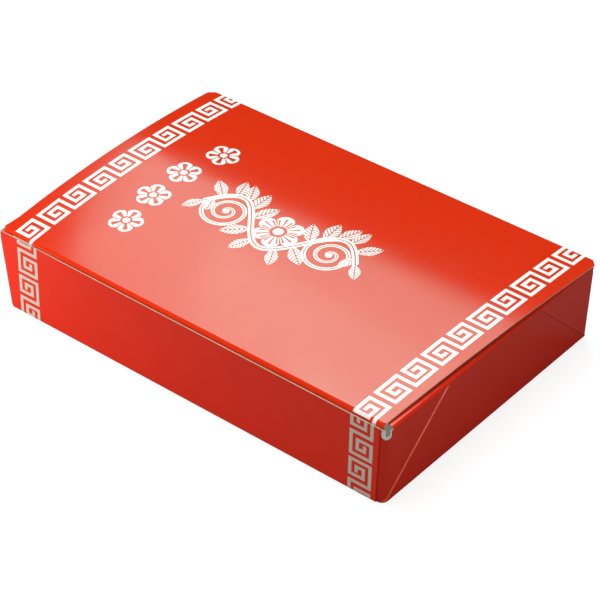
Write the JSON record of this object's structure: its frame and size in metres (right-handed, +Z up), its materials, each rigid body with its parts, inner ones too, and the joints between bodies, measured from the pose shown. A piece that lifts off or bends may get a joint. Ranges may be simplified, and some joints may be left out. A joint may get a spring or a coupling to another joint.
{
  "type": "takeout carton",
  "caption": "Shallow rectangular paperboard takeout carton with a hinged lid, tuck-in front flap, folded-in dust flaps and crease beads on its end walls.",
  "frame": {"origin": "centre of the bounding box at the floor's underside", "axes": "+X along the carton's long side, -Y towards the front wall where the lid's flap tucks in, +Y towards the hinge, +Z up"},
  "size_m": [0.202, 0.13, 0.0415],
  "materials": {
    "tray_board": "gloss coated print outside, plain white inside",
    "lid_board": "gloss coated print outside, plain white inside"
  },
  "bodies": {
    "tray": {"tray": "tray_board"},
    "lid": {"lid": "lid_board"}
  },
  "joints": [
    {"name": "lid_hinge", "type": "hinge", "parent": "tray", "child": "lid", "pos_m": [0, 0.065, 0.0375], "axis": [-1, 0, 0], "range_deg": [0, 180]}
  ]
}
